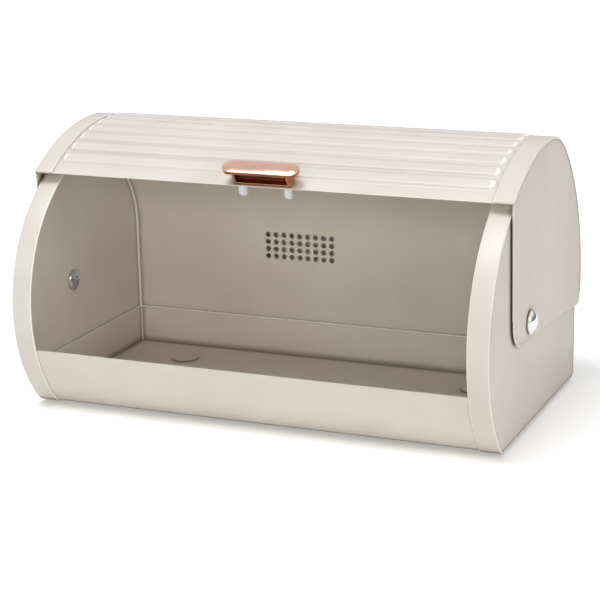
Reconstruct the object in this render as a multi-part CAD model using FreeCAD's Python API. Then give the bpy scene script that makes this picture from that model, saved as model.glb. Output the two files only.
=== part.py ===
import FreeCAD, Part
import math
import os

os.makedirs("parts", exist_ok=True)
Vector = FreeCAD.Vector

# Bread box with a lid that swings back over its body, in millimetres
# X runs along the width, +Y to the rear, +Z up
# The origin is on the resting surface, midway in width and depth

# Sheet metal
sheet = 0.8                  # thickness of every pressed sheet
bend_radius = 1.5            # outer radius where a plate turns into its flange
lid_width = 335.0            # over the lid's two side plates
side_gap = 1.4               # between a lid side plate and the end cap beside it

# Side profile of the body
foot_height = 1.6            # body's bottom edge above the resting surface
pivot_height = 72.4          # lid's axis above the body's bottom edge
pivot_setback = 81.2         # lid's axis behind the foremost point of the body
nose_radius = 94.6           # bulged front
nose_height = 68.7           # centre of the nose above the body's bottom edge
crown_setback = 29.8         # centre of the crown behind the centre of the nose
crown_drop = 31.9            # centre of the crown below the centre of the nose
rear_radius = 120.6          # body's rear, about the lid's axis
shoulder_radius = 50.0       # between crown and rear
toe_radius = 6.0             # front lower corner
heel_radius = 5.0            # rear lower corner
cap_band = 14.2              # width of the end caps' flange

# Side profile of the lid
lid_crown_gap = 8.2          # from the end caps' crown to the lid's, outer face to outer face
lid_rear_gap = 6.7           # the same at the rear
lid_shoulder_radius = 57.0   # between the lid's crown and its rear
lid_overhang = 39.4          # lid's front corner in front of its axis
plate_front = 35.2           # side plate's front edge in front of the axis, at the foot of that edge
plate_drop = 9.4             # side plate's lower edge below the axis, at that foot
plate_rear_angle = 9.0       # lid's rear edge below the horizontal through the axis, degrees
plate_front_corner = 16.8    # radius of the side plate's front lower corner
plate_rear_corner = 7.0      # radius of its rear lower corner
lid_band = 13.4              # width of the side plates' flange over the shell
plate_hem = 5.0              # folded front edge of the side plates
plate_hem_fold = 0.6         # thickness that this fold adds
shell_hem = 2.5              # folded front edge of the shell
closed_angle = 90.0          # lid's swing from open, as modelled, to closed, degrees
rear_flange_gap = 3.5        # between the lid's rear edge, turned inward, and the roof it passes over
band_clearance = 1.6         # between that flange and the end caps' bands

# Pressed ribs of the lid
rib_pitch = 13.1
rib_first = 15.6             # first rib behind the lid's front edge
rib_width = 9.0
rib_height = 1.7
rib_end_margin = 14.6        # from the lid's side to the round end of a rib
rib_rear_margin = 14.0       # least distance from the last rib to the rear edge

# Tray, rear wall and roof
lip_height = 43.6            # top of the front lip above the body's bottom edge
lip_hem = 5.0                # folded top edge of the lip
rim_height = 28.5            # top of the side and rear upstands above the same edge
wall_recess = 22.6           # rear wall in front of the body's rear plane
roof_rise = 5.0              # roof's arc beyond the rear wall, both measured from the lid's axis
wall_bend = 55.0             # where the rear wall turns into the roof
roof_bend = 40.0             # where the roof's two arcs meet
roof_overhang = 17.6         # roof's front edge in front of the lid's axis
wall_flange = 10.0           # side edges of the rear wall, turned back

# Vent holes in the rear wall
vent_count = 9
vent_rows = 4
vent_pitch = 6.2
vent_row_pitch = 5.3
vent_radius = 1.9
vent_height = 91.3           # top row above the body's bottom edge
vent_offset = -32.5          # middle of the rows from the middle of the wall

# Feet, stuck into embossed seats
foot_side_setback = 53.5     # each foot from the end cap beside it
foot_front_setback = 51.7    # front feet behind the foremost point of the body
foot_rear_setback = 35.5     # rear feet in front of the rear wall
seat_radius = 9.5
seat_height = 1.2
foot_radius = 7.5

# Pivots
barrel_radius = 4.0
barrel_clearance = 0.05
pivot_play = 0.15            # beside the spacer and the washer
nut_radius = 8.0
nut_rim = 0.8
nut_dome = 3.4
washer_thickness = 0.4
washer_radius = 7.4
spacer_radius = 10.0
screw_radius = 2.5
screw_head_radius = 7.2
screw_head_rim = 0.6
screw_head_dome = 2.6
screw_reach = 5.0
cross_width = 1.5
cross_length = 6.4
cross_depth = 1.7

# Handle
handle_setback = 5.6         # middle of the handle's foot behind the lid's front edge
bar_length = 53.3
bar_depth = 11.3
bar_thickness = 3.6
bar_edge = 2.0               # rounding over its top
bar_under_edge = 0.6
neck_length = 41.5
neck_depth = 8.5
neck_height = 9.0
neck_corner = 2.5
recess_length = 35.5
recess_depth = 4.2
recess_floor = 1.4
handle_screw_spacing = 32.0
handle_screw_setback = 1.5   # screws behind the middle of the neck
handle_screw_radius = 1.5
handle_screw_bite = 7.0
handle_screw_head = 2.6
handle_screw_head_height = 2.0

# Soft pegs over the handle's screws, which meet the lip when the lid is closed
peg_radius = 3.1
peg_lean = 4.0               # off straight down while the lid is open, degrees
peg_gap = 0.5                # from the lip's face when the lid is closed
peg_tip = 2.6                # rounding of the tip
collar_height = 3.0
collar_clearance = 0.2       # behind the shell's folded edge

# Stops for the open lid
stop_radius = 4.0
stop_base_radius = 6.0
stop_base = 2.0
stop_reach = 13.0
stop_inset = 30.0            # from the lid's side
stop_gap = 0.3               # under the lid's rear flange

# Places that follow from the sizes above
half_lid = lid_width / 2
plate_inner_x = half_lid - sheet
cap_outer_x = plate_inner_x - side_gap
cap_inner_x = cap_outer_x - sheet
lid_rear_radius = rear_radius + lid_rear_gap
rib_top_radius = lid_rear_radius - sheet + rib_height
edge_z = foot_height
front_y = -(pivot_setback + rib_top_radius) / 2
pivot = Vector(0, front_y + pivot_setback, edge_z + pivot_height)
nose_centre = Vector(0, front_y + nose_radius, edge_z + nose_height)
crown_centre = nose_centre + Vector(0, crown_setback, -crown_drop)
crown_radius = nose_radius + math.hypot(crown_setback, crown_drop)
lid_crown_radius = crown_radius + lid_crown_gap
rear_y = pivot.y + rear_radius
wall_y = rear_y - wall_recess
roof_radius = rear_radius - wall_recess + roof_rise
tray_floor_z = edge_z + 2 * sheet
lip_z = edge_z + lip_height
rim_z = edge_z + rim_height
flange_half = cap_outer_x - cap_band - band_clearance
foot_x = cap_inner_x - foot_side_setback
foot_front_y = front_y + foot_front_setback
foot_rear_y = wall_y - foot_rear_setback


def line(start, end):
    return Part.LineSegment(start, end).toShape()


def arc(start, centre, end):
    """An arc of less than half a turn about a centre."""
    radius = (start - centre).Length
    middle = (start - centre + end - centre).normalize() * radius
    return Part.Arc(start, centre + middle, end).toShape()


def prism(edges, x_low, x_high):
    """A closed outline in the plane X = 0, drawn out along X."""
    solid = Part.Face(Part.Wire(edges)).extrude(Vector(x_high - x_low, 0, 0))
    solid.translate(Vector(x_low, 0, 0))
    return solid


def block(low, high):
    return Part.makeBox(high[0] - low[0], high[1] - low[1], high[2] - low[2], Vector(*low))


def along_x(radius, x_low, x_high, centre=pivot):
    """A round bar along X."""
    return Part.makeCylinder(radius, x_high - x_low, Vector(x_low, centre.y, centre.z), Vector(1, 0, 0))


def toward(centre, target, radius):
    """The point at a radius from a centre, in the direction of a target."""
    return centre + (target - centre).normalize() * radius


def polar(centre, radius, degrees):
    angle = math.radians(degrees)
    return centre + Vector(0, radius * math.cos(angle), radius * math.sin(angle))


def meet(centre_a, radius_a, centre_b, radius_b):
    """Where two circles cross, on the upper rear side."""
    apart = centre_b - centre_a
    distance = apart.Length
    along = (radius_a ** 2 - radius_b ** 2 + distance ** 2) / (2 * distance)
    across = math.sqrt(radius_a ** 2 - along ** 2)
    unit = apart * (1 / distance)
    side = Vector(0, -unit.z, unit.y)
    if side.y + side.z < 0:
        side = side * -1
    return centre_a + unit * along + side * across


def on_circle(centre, radius, z):
    """The front point of a circle at a height."""
    return Vector(0, centre.y - math.sqrt(radius ** 2 - (z - centre.z) ** 2), z)


def round_edges(solid, radius, chosen):
    """Round the edges that the function chosen picks."""
    return solid.makeFillet(radius, [edge for edge in solid.Edges if chosen(edge)])


def edge_through(point):
    """Picks the edges along X that pass through a point of the side profile."""
    def chosen(edge):
        ends = [vertex.Point for vertex in edge.Vertexes]
        return all(math.hypot(end.y - point.y, end.z - point.z) < 0.01 for end in ends)
    return chosen


def mirrored(shape):
    return shape.mirror(Vector(0, 0, 0), Vector(1, 0, 0))


def body_outline(inset):
    """The body's side profile, drawn in by an inset."""
    nose = nose_radius - inset
    crown = crown_radius - inset
    rear = rear_radius - inset
    shoulder = shoulder_radius - inset
    toe = toe_radius - inset
    heel = heel_radius - inset
    low_z = edge_z + inset
    back_y = rear_y - inset
    toe_centre = on_circle(nose_centre, nose - toe, low_z + toe)
    heel_centre = Vector(0, back_y - heel, low_z + heel)
    shoulder_centre = meet(crown_centre, crown - shoulder, pivot, rear - shoulder)
    toe_foot = Vector(0, toe_centre.y, low_z)
    heel_foot = Vector(0, heel_centre.y, low_z)
    heel_back = Vector(0, back_y, heel_centre.z)
    back_top = Vector(0, back_y, pivot.z)
    shoulder_back = toward(pivot, shoulder_centre, rear)
    shoulder_top = toward(crown_centre, shoulder_centre, crown)
    brow = toward(crown_centre, nose_centre, crown)
    toe_top = toward(nose_centre, toe_centre, nose)
    return [
        line(toe_foot, heel_foot),
        arc(heel_foot, heel_centre, heel_back),
        line(heel_back, back_top),
        arc(back_top, pivot, shoulder_back),
        arc(shoulder_back, shoulder_centre, shoulder_top),
        arc(shoulder_top, crown_centre, brow),
        arc(brow, nose_centre, toe_top),
        arc(toe_top, toe_centre, toe_foot),
    ]


def body_skin(depth, thickness, x_low, x_high):
    """A band that follows the body's profile, a depth below its outer face."""
    outside = prism(body_outline(depth), x_low, x_high)
    return outside.cut(prism(body_outline(depth + thickness), x_low - 1, x_high + 1))


def end_cap():
    """The right end cap: a pan that is open towards the inside."""
    pan = prism(body_outline(0), cap_outer_x - cap_band, cap_outer_x)

    def outer_rim(edge):
        return edge.BoundBox.XMin > cap_outer_x - 0.01

    pan = round_edges(pan, bend_radius, outer_rim)
    pan = pan.cut(prism(body_outline(sheet), cap_outer_x - cap_band - 1, cap_inner_x))
    return pan.cut(along_x(barrel_radius, cap_inner_x - 1, cap_outer_x + 1))


def seat_places():
    return [(side * foot_x, y) for side in (-1, 1) for y in (foot_front_y, foot_rear_y)]


def upright(radius, x, y, z_low, z_high):
    return Part.makeCylinder(radius, z_high - z_low, Vector(x, y, z_low), Vector(0, 0, 1))


def base_tray():
    """Floor, front lip and upstands of one folded sheet, nested inside the end caps' bands."""
    wall_front_y = wall_y - sheet
    wide = cap_inner_x
    skin = body_skin(sheet, sheet, -wide, wide)
    keep = block((-wide, front_y, 0), (wide, wall_front_y, tray_floor_z))
    keep = keep.fuse(block((-wide, front_y, 0), (wide, nose_centre.y, lip_z)))
    tray = skin.common(keep)
    fold = body_skin(2 * sheet, sheet, -wide, wide)
    tray = tray.fuse(fold.common(block((-wide, front_y, lip_z - lip_hem), (wide, nose_centre.y, lip_z))))
    rear = block((-wide, wall_front_y - sheet, edge_z + sheet), (wide, wall_front_y, rim_z))
    tray = tray.fuse(rear)
    inside = prism(body_outline(sheet), wide - sheet, wide)
    side = inside.common(block((0, front_y, 0), (wide, wall_front_y, rim_z)))
    tray = tray.fuse([side, mirrored(side)])
    seat_top = tray_floor_z + seat_height
    for x, y in seat_places():
        tray = tray.fuse(upright(seat_radius, x, y, tray_floor_z - sheet, seat_top))
        tray = tray.cut(upright(seat_radius - sheet, x, y, 0, seat_top - sheet))
    return tray.removeSplitter()


def wall_outline(inset):
    """Corner points and arc centres of the rear wall and roof, drawn in by an inset."""
    back_y = wall_y - inset
    near = roof_radius - inset
    top = crown_radius - sheet - inset
    bend = wall_bend - inset
    crest = roof_bend - inset
    reach = near - bend
    bend_centre = Vector(0, back_y - bend, 0)
    bend_centre.z = pivot.z + math.sqrt(reach ** 2 - (bend_centre.y - pivot.y) ** 2)
    crest_centre = meet(crown_centre, top - crest, pivot, near - crest)
    front = pivot.y - roof_overhang
    edge = Vector(0, front, crown_centre.z + math.sqrt(top ** 2 - (front - crown_centre.y) ** 2))
    return {
        "foot": Vector(0, back_y, edge_z + sheet),
        "bend_start": Vector(0, back_y, bend_centre.z),
        "bend_centre": bend_centre,
        "bend_end": toward(pivot, bend_centre, near),
        "crest_start": toward(pivot, crest_centre, near),
        "crest_centre": crest_centre,
        "crest_end": toward(crown_centre, crest_centre, top),
        "edge": edge,
    }


def back_panel():
    """Rear wall and roof of one sheet, with turned side edges and vent holes."""
    out = wall_outline(0)
    into = wall_outline(sheet)
    edges = [
        line(out["foot"], out["bend_start"]),
        arc(out["bend_start"], out["bend_centre"], out["bend_end"]),
        arc(out["bend_end"], pivot, out["crest_start"]),
        arc(out["crest_start"], out["crest_centre"], out["crest_end"]),
        arc(out["crest_end"], crown_centre, out["edge"]),
        line(out["edge"], into["edge"]),
        arc(into["edge"], crown_centre, into["crest_end"]),
        arc(into["crest_end"], into["crest_centre"], into["crest_start"]),
        arc(into["crest_start"], pivot, into["bend_end"]),
        arc(into["bend_end"], into["bend_centre"], into["bend_start"]),
        line(into["bend_start"], into["foot"]),
        line(into["foot"], out["foot"]),
    ]
    panel = prism(edges, -cap_inner_x, cap_inner_x)
    low = (cap_inner_x - sheet, wall_y - sheet, edge_z + sheet)
    flange = block(low, (cap_inner_x, wall_y + wall_flange, out["bend_start"].z))
    panel = panel.fuse([flange, mirrored(flange)])
    holes = []
    for row in range(vent_rows):
        for column in range(vent_count):
            x = vent_offset + (column - (vent_count - 1) / 2) * vent_pitch
            z = edge_z + vent_height - row * vent_row_pitch
            start = Vector(x, wall_y - 2 * sheet, z)
            holes.append(Part.makeCylinder(vent_radius, 3 * sheet, start, Vector(0, 1, 0)))
    return panel.cut(Part.makeCompound(holes)).removeSplitter()


def foot(x, y):
    """A rubber foot under its seat."""
    return upright(foot_radius, x, y, 0, tray_floor_z - sheet + seat_height)


def lid_curve(inset):
    """Points and arc centres of the lid's crown, shoulder and rear, drawn in by an inset."""
    crown = lid_crown_radius - inset
    rear = lid_rear_radius - inset
    shoulder = lid_shoulder_radius - inset
    corner_y = pivot.y - lid_overhang
    corner_z = crown_centre.z + math.sqrt(lid_crown_radius ** 2 - (corner_y - crown_centre.y) ** 2)
    corner = Vector(0, corner_y, corner_z)
    centre = meet(crown_centre, crown - shoulder, pivot, rear - shoulder)
    return {
        "corner": toward(crown_centre, corner, crown),
        "top": toward(crown_centre, centre, crown),
        "centre": centre,
        "back": toward(pivot, centre, rear),
        "end": polar(pivot, rear, -plate_rear_angle),
    }


def lid_strip(depth, thickness, x_low, x_high):
    """A band that follows the lid's curve, a depth below its outer face."""
    out = lid_curve(depth)
    into = lid_curve(depth + thickness)
    edges = [
        arc(out["corner"], crown_centre, out["top"]),
        arc(out["top"], out["centre"], out["back"]),
        arc(out["back"], pivot, out["end"]),
        line(out["end"], into["end"]),
        arc(into["end"], pivot, into["back"]),
        arc(into["back"], into["centre"], into["top"]),
        arc(into["top"], crown_centre, into["corner"]),
        line(into["corner"], out["corner"]),
    ]
    return prism(edges, x_low, x_high)


def plate_foot():
    """The sharp front lower corner of a lid side plate, before it is rounded."""
    return pivot + Vector(0, -plate_front, -plate_drop)


def plate_block(inset, spill, x_low, x_high):
    """The side plate's profile, its curve drawn in by an inset and its straight edges out by a spill."""
    curve = lid_curve(inset)
    foot_point = plate_foot() + Vector(0, -spill, -spill)
    corner = curve["corner"] + Vector(0, -spill, 0)
    end = curve["end"] + Vector(0, 0, -spill)
    edges = [
        arc(curve["corner"], crown_centre, curve["top"]),
        arc(curve["top"], curve["centre"], curve["back"]),
        arc(curve["back"], pivot, curve["end"]),
        line(end, foot_point),
        line(foot_point, corner),
    ]
    if spill:
        edges.insert(3, line(curve["end"], end))
        edges.append(line(corner, curve["corner"]))
    return prism(edges, x_low, x_high)


def lid_end():
    """The right side plate of the lid, with its band over the shell and a folded front edge."""
    curve = lid_curve(0)
    corner = curve["corner"]
    whole = plate_block(0, 0, half_lid - lid_band, half_lid)
    whole = round_edges(whole, plate_front_corner, edge_through(plate_foot()))
    whole = round_edges(whole, plate_rear_corner, edge_through(curve["end"]))

    def curved_rim(edge):
        middle = edge.BoundBox.Center
        return edge.BoundBox.XMin > half_lid - 0.01 and middle.z > pivot.z and middle.y > corner.y + 1

    whole = round_edges(whole, bend_radius, curved_rim)
    down = (plate_foot() - corner).normalize()
    behind = Vector(0, -down.z, down.y)
    across = behind * plate_hem
    spots = [corner - behind, plate_foot() - behind, plate_foot() + across, corner + across]
    strip = [line(spots[number - 1], spots[number]) for number in range(4)]
    fold = whole.common(prism(strip, plate_inner_x - plate_hem_fold, plate_inner_x))
    fold = fold.cut(lid_strip(sheet, 2 * sheet, plate_inner_x - 1, plate_inner_x))
    plate = whole.cut(plate_block(sheet, 10, half_lid - lid_band - 1, plate_inner_x)).fuse(fold)
    hole = along_x(barrel_radius + barrel_clearance, plate_inner_x - 1, half_lid + 1)
    return plate.cut(hole).removeSplitter()


def lid_spans(inset):
    """The lid's three arcs from front to rear: centre, start, end, radius and turn."""
    curve = lid_curve(inset)
    spans = []
    for centre, start, end in (
        (crown_centre, curve["corner"], curve["top"]),
        (curve["centre"], curve["top"], curve["back"]),
        (pivot, curve["back"], curve["end"]),
    ):
        spans.append((centre, start, end, (start - centre).Length, (start - centre).getAngle(end - centre)))
    return spans


def lid_length(inset):
    """Length of the lid's curve from its front corner to its rear edge."""
    return sum(radius * turn for centre, start, end, radius, turn in lid_spans(inset))


def lid_station(distance, inset):
    """Point and outward direction on the lid, at a distance along its curve behind the front corner."""
    for centre, start, end, radius, turn in lid_spans(inset):
        if distance <= turn * radius:
            break
        distance = distance - turn * radius
    heading = math.atan2(start.z - centre.z, start.y - centre.y) - distance / radius
    outward = Vector(0, math.cos(heading), math.sin(heading))
    return centre + outward * radius, outward


def capsule(radius, reach, centre, outward):
    """A round bar along X with ball ends, turned about its own axis."""
    inward = outward * -radius
    tips = [centre + Vector(side * (reach + radius), 0, 0) for side in (-1, 1)]
    ends = [centre + Vector(side * reach, 0, 0) for side in (-1, 1)]
    knees = [ends[0] + (inward - Vector(radius, 0, 0)) * math.sqrt(0.5)]
    knees.append(ends[1] + (inward + Vector(radius, 0, 0)) * math.sqrt(0.5))
    edges = [
        Part.Arc(tips[0], knees[0], ends[0] + inward).toShape(),
        line(ends[0] + inward, ends[1] + inward),
        Part.Arc(ends[1] + inward, knees[1], tips[1]).toShape(),
        line(tips[1], tips[0]),
    ]
    return Part.Face(Part.Wire(edges)).revolve(centre, Vector(1, 0, 0), 360)


def lid_shell():
    """The lid's ribbed sheet, with a hemmed front edge and a rear edge turned inward."""
    wide = plate_inner_x
    shell = lid_strip(sheet, sheet, -wide, wide)
    rib_radius = (rib_height ** 2 + (rib_width / 2) ** 2) / (2 * rib_height)
    reach = half_lid - rib_end_margin - rib_width / 2
    room = lid_length(sheet) - rib_first - rib_rear_margin
    inner = plate_block(1.5 * sheet, 10, -wide - 1, wide + 1)
    for number in range(int(room / rib_pitch) + 1):
        point, outward = lid_station(rib_first + number * rib_pitch, sheet)
        centre = point - outward * (rib_radius - rib_height)
        hollow = capsule(rib_radius - sheet, reach, centre, outward)
        rib = capsule(rib_radius, reach, centre, outward).cut(inner).cut(hollow)
        shell = shell.cut(hollow).fuse(rib)
    shell = shell.fuse(shell_fold())
    root = lid_rear_radius - sheet
    flange = block((-flange_half, roof_radius + rear_flange_gap, 0), (flange_half, root - sheet / 2, sheet))
    flange.rotate(Vector(0, 0, 0), Vector(1, 0, 0), -plate_rear_angle)
    flange.translate(pivot)
    shell = shell.fuse(flange)
    for x in screw_places():
        start = Vector(x, handle_screw_setback, -2 * sheet)
        shell = shell.cut(handle_place(Part.makeCylinder(handle_screw_radius, 3 * sheet, start)))
    return shell.removeSplitter()


def shell_fold():
    """The shell's front edge, folded back under itself."""
    out = lid_curve(2 * sheet)["corner"]
    into = lid_curve(3 * sheet)["corner"]
    out_end = lid_station(shell_hem, 2 * sheet)[0]
    into_end = toward(crown_centre, out_end, (into - crown_centre).Length)
    edges = [
        arc(out, crown_centre, out_end),
        line(out_end, into_end),
        arc(into_end, crown_centre, into),
        line(into, out),
    ]
    return prism(edges, -plate_inner_x, plate_inner_x)


def screw_places():
    return [side * handle_screw_spacing / 2 for side in (-1, 1)]


def handle_place(shape):
    """Stand a shape on the lid: its X stays, +Y runs back along the lid and +Z outward."""
    point, outward = lid_station(handle_setback, sheet)
    shape.rotate(Vector(0, 0, 0), Vector(1, 0, 0), math.degrees(math.atan2(-outward.y, outward.z)))
    shape.translate(point)
    return shape


def slab(length, depth, low_z, high_z, corner):
    """An upright block about the middle, with its four upright edges rounded."""
    solid = block((-length / 2, -depth / 2, low_z), (length / 2, depth / 2, high_z))

    def upright_edge(edge):
        return edge.BoundBox.ZLength > (high_z - low_z) * 0.9

    return round_edges(solid, corner, upright_edge)


def handle():
    """The pull: a bar on a neck that is hollow at the front."""
    bar_top = neck_height + bar_thickness
    bar = slab(bar_length, bar_depth, neck_height, bar_top, bar_depth / 2 - 0.05)

    def top_edge(edge):
        return edge.BoundBox.ZMin > bar_top - 0.01

    def under_edge(edge):
        return edge.BoundBox.ZMax < neck_height + 0.01

    bar = round_edges(bar, bar_edge, top_edge)
    bar = round_edges(bar, bar_under_edge, under_edge)
    neck = slab(neck_length, neck_depth, -sheet, neck_height, neck_corner)
    low = (-recess_length / 2, -neck_depth / 2 - 1, recess_floor)
    high = (recess_length / 2, -neck_depth / 2 + recess_depth, neck_height)
    pull = bar.fuse(neck.cut(block(low, high)))
    for x in screw_places():
        start = Vector(x, handle_screw_setback, -1)
        pull = pull.cut(Part.makeCylinder(handle_screw_radius, handle_screw_bite + 1, start))
    return handle_place(pull).cut(lid_strip(sheet, 2 * sheet, -neck_length, neck_length)).removeSplitter()


def handle_screw(x):
    """A screw through the lid into the handle's neck."""
    head_top = Vector(x, handle_screw_setback, -sheet)
    shank = Part.makeCylinder(handle_screw_radius, handle_screw_bite + sheet, head_top)
    start = head_top - Vector(0, 0, handle_screw_head_height)
    head = Part.makeCylinder(handle_screw_head, handle_screw_head_height, start)
    screw = handle_place(shank.fuse(head))
    return screw.cut(lid_strip(sheet, sheet, -neck_length, neck_length).cut(handle_place(shank_hole(x))))


def shank_hole(x):
    return Part.makeCylinder(handle_screw_radius, 4 * sheet, Vector(x, handle_screw_setback, -2 * sheet))


def turned(point, degrees):
    """A point of the lid after the lid has swung by an angle towards closed."""
    angle = math.radians(degrees)
    arm = point - pivot
    swung_y = arm.y * math.cos(angle) - arm.z * math.sin(angle)
    swung_z = arm.y * math.sin(angle) + arm.z * math.cos(angle)
    return pivot + Vector(arm.x, swung_y, swung_z)


def peg_line():
    """Root, direction and length of a peg, whose tip meets the lip's face when the lid is closed."""
    root = lid_station(handle_setback + handle_screw_setback, 2 * sheet)[0]
    lean = math.radians(peg_lean)
    along = Vector(0, math.sin(lean), -math.cos(lean))
    closed_root = turned(root, closed_angle)
    closed_along = turned(root + along, closed_angle) - closed_root
    arm = closed_root - nose_centre
    reach = nose_radius - sheet + peg_gap
    middle = -arm.dot(closed_along)
    length = middle - math.sqrt(middle ** 2 - arm.dot(arm) + reach ** 2)
    return root, along, length


def bumper(x):
    """A soft peg with a collar over a screw head."""
    root, along, length = peg_line()
    start = root - along * peg_radius + Vector(x, 0, 0)
    peg = Part.makeCylinder(peg_radius, length + peg_radius, start, along)
    tip = root + along * length + Vector(x, 0, 0)

    def tip_edge(edge):
        return edge.BoundBox.Center.distanceToPoint(tip) < 0.01

    peg = round_edges(peg, peg_tip, tip_edge)
    collar_radius = handle_setback + handle_screw_setback - shell_hem - collar_clearance
    head_top = Vector(x, handle_screw_setback, -sheet)
    collar = Part.makeCylinder(collar_radius, collar_height, head_top - Vector(0, 0, collar_height))
    head = Part.makeCylinder(handle_screw_head, 2 * handle_screw_head_height, head_top)
    head.translate(Vector(0, 0, -handle_screw_head_height))
    peg = peg.fuse(handle_place(collar)).cut(handle_place(head))
    return peg.common(plate_block(2 * sheet, 0, x - peg_radius * 2, x + peg_radius * 2)).removeSplitter()


def dome(radius, rim, rise, x):
    """A domed head whose flat face is at x, towards +X."""
    ball = (radius ** 2 + rise ** 2) / (2 * rise)
    head = along_x(radius, x, x + rim + rise)
    centre = Vector(x + rim + rise - ball, pivot.y, pivot.z)
    return head.common(Part.makeSphere(ball, centre).fuse(along_x(radius, x, x + rim)))


def pivot_nut():
    """The right barrel nut: a domed head outside, with the barrel that the lid turns on."""
    seat_x = half_lid + pivot_play + washer_thickness
    nut = dome(nut_radius, nut_rim, nut_dome, seat_x)
    nut = nut.fuse(along_x(barrel_radius, cap_inner_x, seat_x))
    return nut.cut(along_x(screw_radius, cap_inner_x - 1, cap_inner_x + screw_reach)).removeSplitter()


def pivot_washer():
    seat_x = half_lid + pivot_play
    washer = along_x(washer_radius, seat_x, seat_x + washer_thickness)
    return washer.cut(along_x(barrel_radius, seat_x - 1, seat_x + 2))


def pivot_spacer():
    spacer = along_x(spacer_radius, cap_outer_x, plate_inner_x - pivot_play)
    return spacer.cut(along_x(barrel_radius, cap_outer_x - 1, plate_inner_x + 1))


def pivot_screw():
    """The right inner screw: a domed head inside the cap, with a cross recess."""
    head = mirrored(dome(screw_head_radius, screw_head_rim, screw_head_dome, -cap_inner_x))
    tip = cap_inner_x - screw_head_rim - screw_head_dome
    for half_y, half_z in ((cross_length / 2, cross_width / 2), (cross_width / 2, cross_length / 2)):
        low = (tip - 1, pivot.y - half_y, pivot.z - half_z)
        head = head.cut(block(low, (tip + cross_depth, pivot.y + half_y, pivot.z + half_z)))
    shank = along_x(screw_radius, cap_inner_x - screw_head_rim, cap_inner_x + screw_reach)
    return head.fuse(shank).removeSplitter()


def lid_stop():
    """The right stop: a rubber button on the rear wall, under the lid's rear flange."""
    x = half_lid - stop_inset
    end_y = wall_y + stop_reach
    drop = math.tan(math.radians(plate_rear_angle)) * (end_y - pivot.y)
    z = pivot.z - drop - stop_gap - stop_radius
    back = Vector(0, 1, 0)
    button = Part.makeCylinder(stop_radius, stop_reach, Vector(x, wall_y, z), back)
    base = Part.makeCylinder(stop_base_radius, stop_base, Vector(x, wall_y, z), back)
    return button.fuse(base).removeSplitter()


def write(node, shape):
    """Save one node, and say what it holds."""
    shape.exportStep("parts/" + node + ".step")
    print(node, shape.isValid(), len(shape.Solids), round(shape.Volume, 1))


write("base_tray", base_tray())
write("back_panel", back_panel())
write("lid_shell", lid_shell())
for name, make in (
    ("end_cap", end_cap),
    ("lid_end", lid_end),
    ("pivot_nut", pivot_nut),
    ("pivot_washer", pivot_washer),
    ("pivot_spacer", pivot_spacer),
    ("pivot_screw", pivot_screw),
    ("lid_stop", lid_stop),
):
    right = make()
    write(name + "_right", right)
    write(name + "_left", mirrored(right))
write("handle", handle())
left_x, right_x = screw_places()
write("handle_screws", Part.makeCompound([handle_screw(left_x), handle_screw(right_x)]))
write("bumper_left", bumper(left_x))
write("bumper_right", bumper(right_x))
for place, y in (("front", foot_front_y), ("rear", foot_rear_y)):
    write("foot_" + place + "_left", foot(-foot_x, y))
    write("foot_" + place + "_right", foot(foot_x, y))
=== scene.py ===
import bmesh
import bpy
import math
from mathutils import Matrix, Vector


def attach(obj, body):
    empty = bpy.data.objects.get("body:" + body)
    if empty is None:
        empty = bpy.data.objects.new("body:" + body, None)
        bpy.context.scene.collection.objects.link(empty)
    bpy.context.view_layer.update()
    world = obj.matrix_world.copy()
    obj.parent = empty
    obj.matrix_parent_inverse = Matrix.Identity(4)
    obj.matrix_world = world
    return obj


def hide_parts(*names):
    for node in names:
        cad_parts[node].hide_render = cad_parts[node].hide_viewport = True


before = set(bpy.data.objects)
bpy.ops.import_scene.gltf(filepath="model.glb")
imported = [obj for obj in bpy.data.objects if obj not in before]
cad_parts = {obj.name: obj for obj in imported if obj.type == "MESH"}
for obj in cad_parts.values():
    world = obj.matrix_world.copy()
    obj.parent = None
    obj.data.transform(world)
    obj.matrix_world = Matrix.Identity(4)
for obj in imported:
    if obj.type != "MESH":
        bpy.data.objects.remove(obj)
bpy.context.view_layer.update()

# Bread box with a lid that swings back over its body
# Sizes of the lid, in millimetres

MM = 0.001
SHEET = 0.8
PIVOT = (-23.5, 74.0)        # y and z of the lid's axis
LID_HALF = 166.7             # half the shell's width, under the side plates' bands
LID_CROWN_RADIUS = 146.45
LID_SHOULDER_RADIUS = 57.0
LID_REAR_RADIUS = 127.3
LID_REAR_ANGLE = 9.0         # of the curve's rear end below the axis, in degrees
CROWN_CENTRE = (19.7, 38.4)
FRONT_CORNER_Y = -62.9
RIB_FIRST = 15.6             # behind the front edge
RIB_PITCH = 13.1
RIB_COUNT = 18
RIB_FLAT = 7.4               # width of a rib's level top
RIB_SIDE = 2.8               # width of its hollow flank, steepest beside the top
RIB_HEIGHT = 1.58            # above the shell
RIB_REACH = 147.2            # middle of each rib's round end
RIB_SOFTNESS = 0.12          # rounding between top and flank, as a share of the flank
BOSS_HIGHLIGHT_START = 1.6             # beyond that middle, where a rib's end starts to get the painted highlight
BOSS_HIGHLIGHT_RISE = 0.45             # and the least height that does, as a share of the rib's
FLANGE_HALF = 149.5
FLANGE_ROOT = 126.1          # from the lid's axis
FLANGE_EDGE = 106.5
LID_X = 167.5                # outer face of the side plates
LID_BAND = 13.4              # width of their bands
SEAM = 0.05                  # open joint between the shell and those bands
SHELL_DEPTH = 0.75           # the shell's face below theirs
PLATE_FRONT = 35.2           # foot of a side plate's front edge, in front of the axis
PLATE_DROP = 9.4             # and below it
PLATE_FRONT_CORNER = 16.8
PLATE_REAR_CORNER = 6.0
PLATE_REAR_CUT = 7.0         # length of the curve that the rear corner takes up
HEM_WIDTH = 5.0              # of the sheet folded back behind a plate's front edge
HEM_SHEET = 0.6
HEM_STOP = 18.48             # its lower end above the plate's foot

# Sizes of the body, in millimetres

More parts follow.
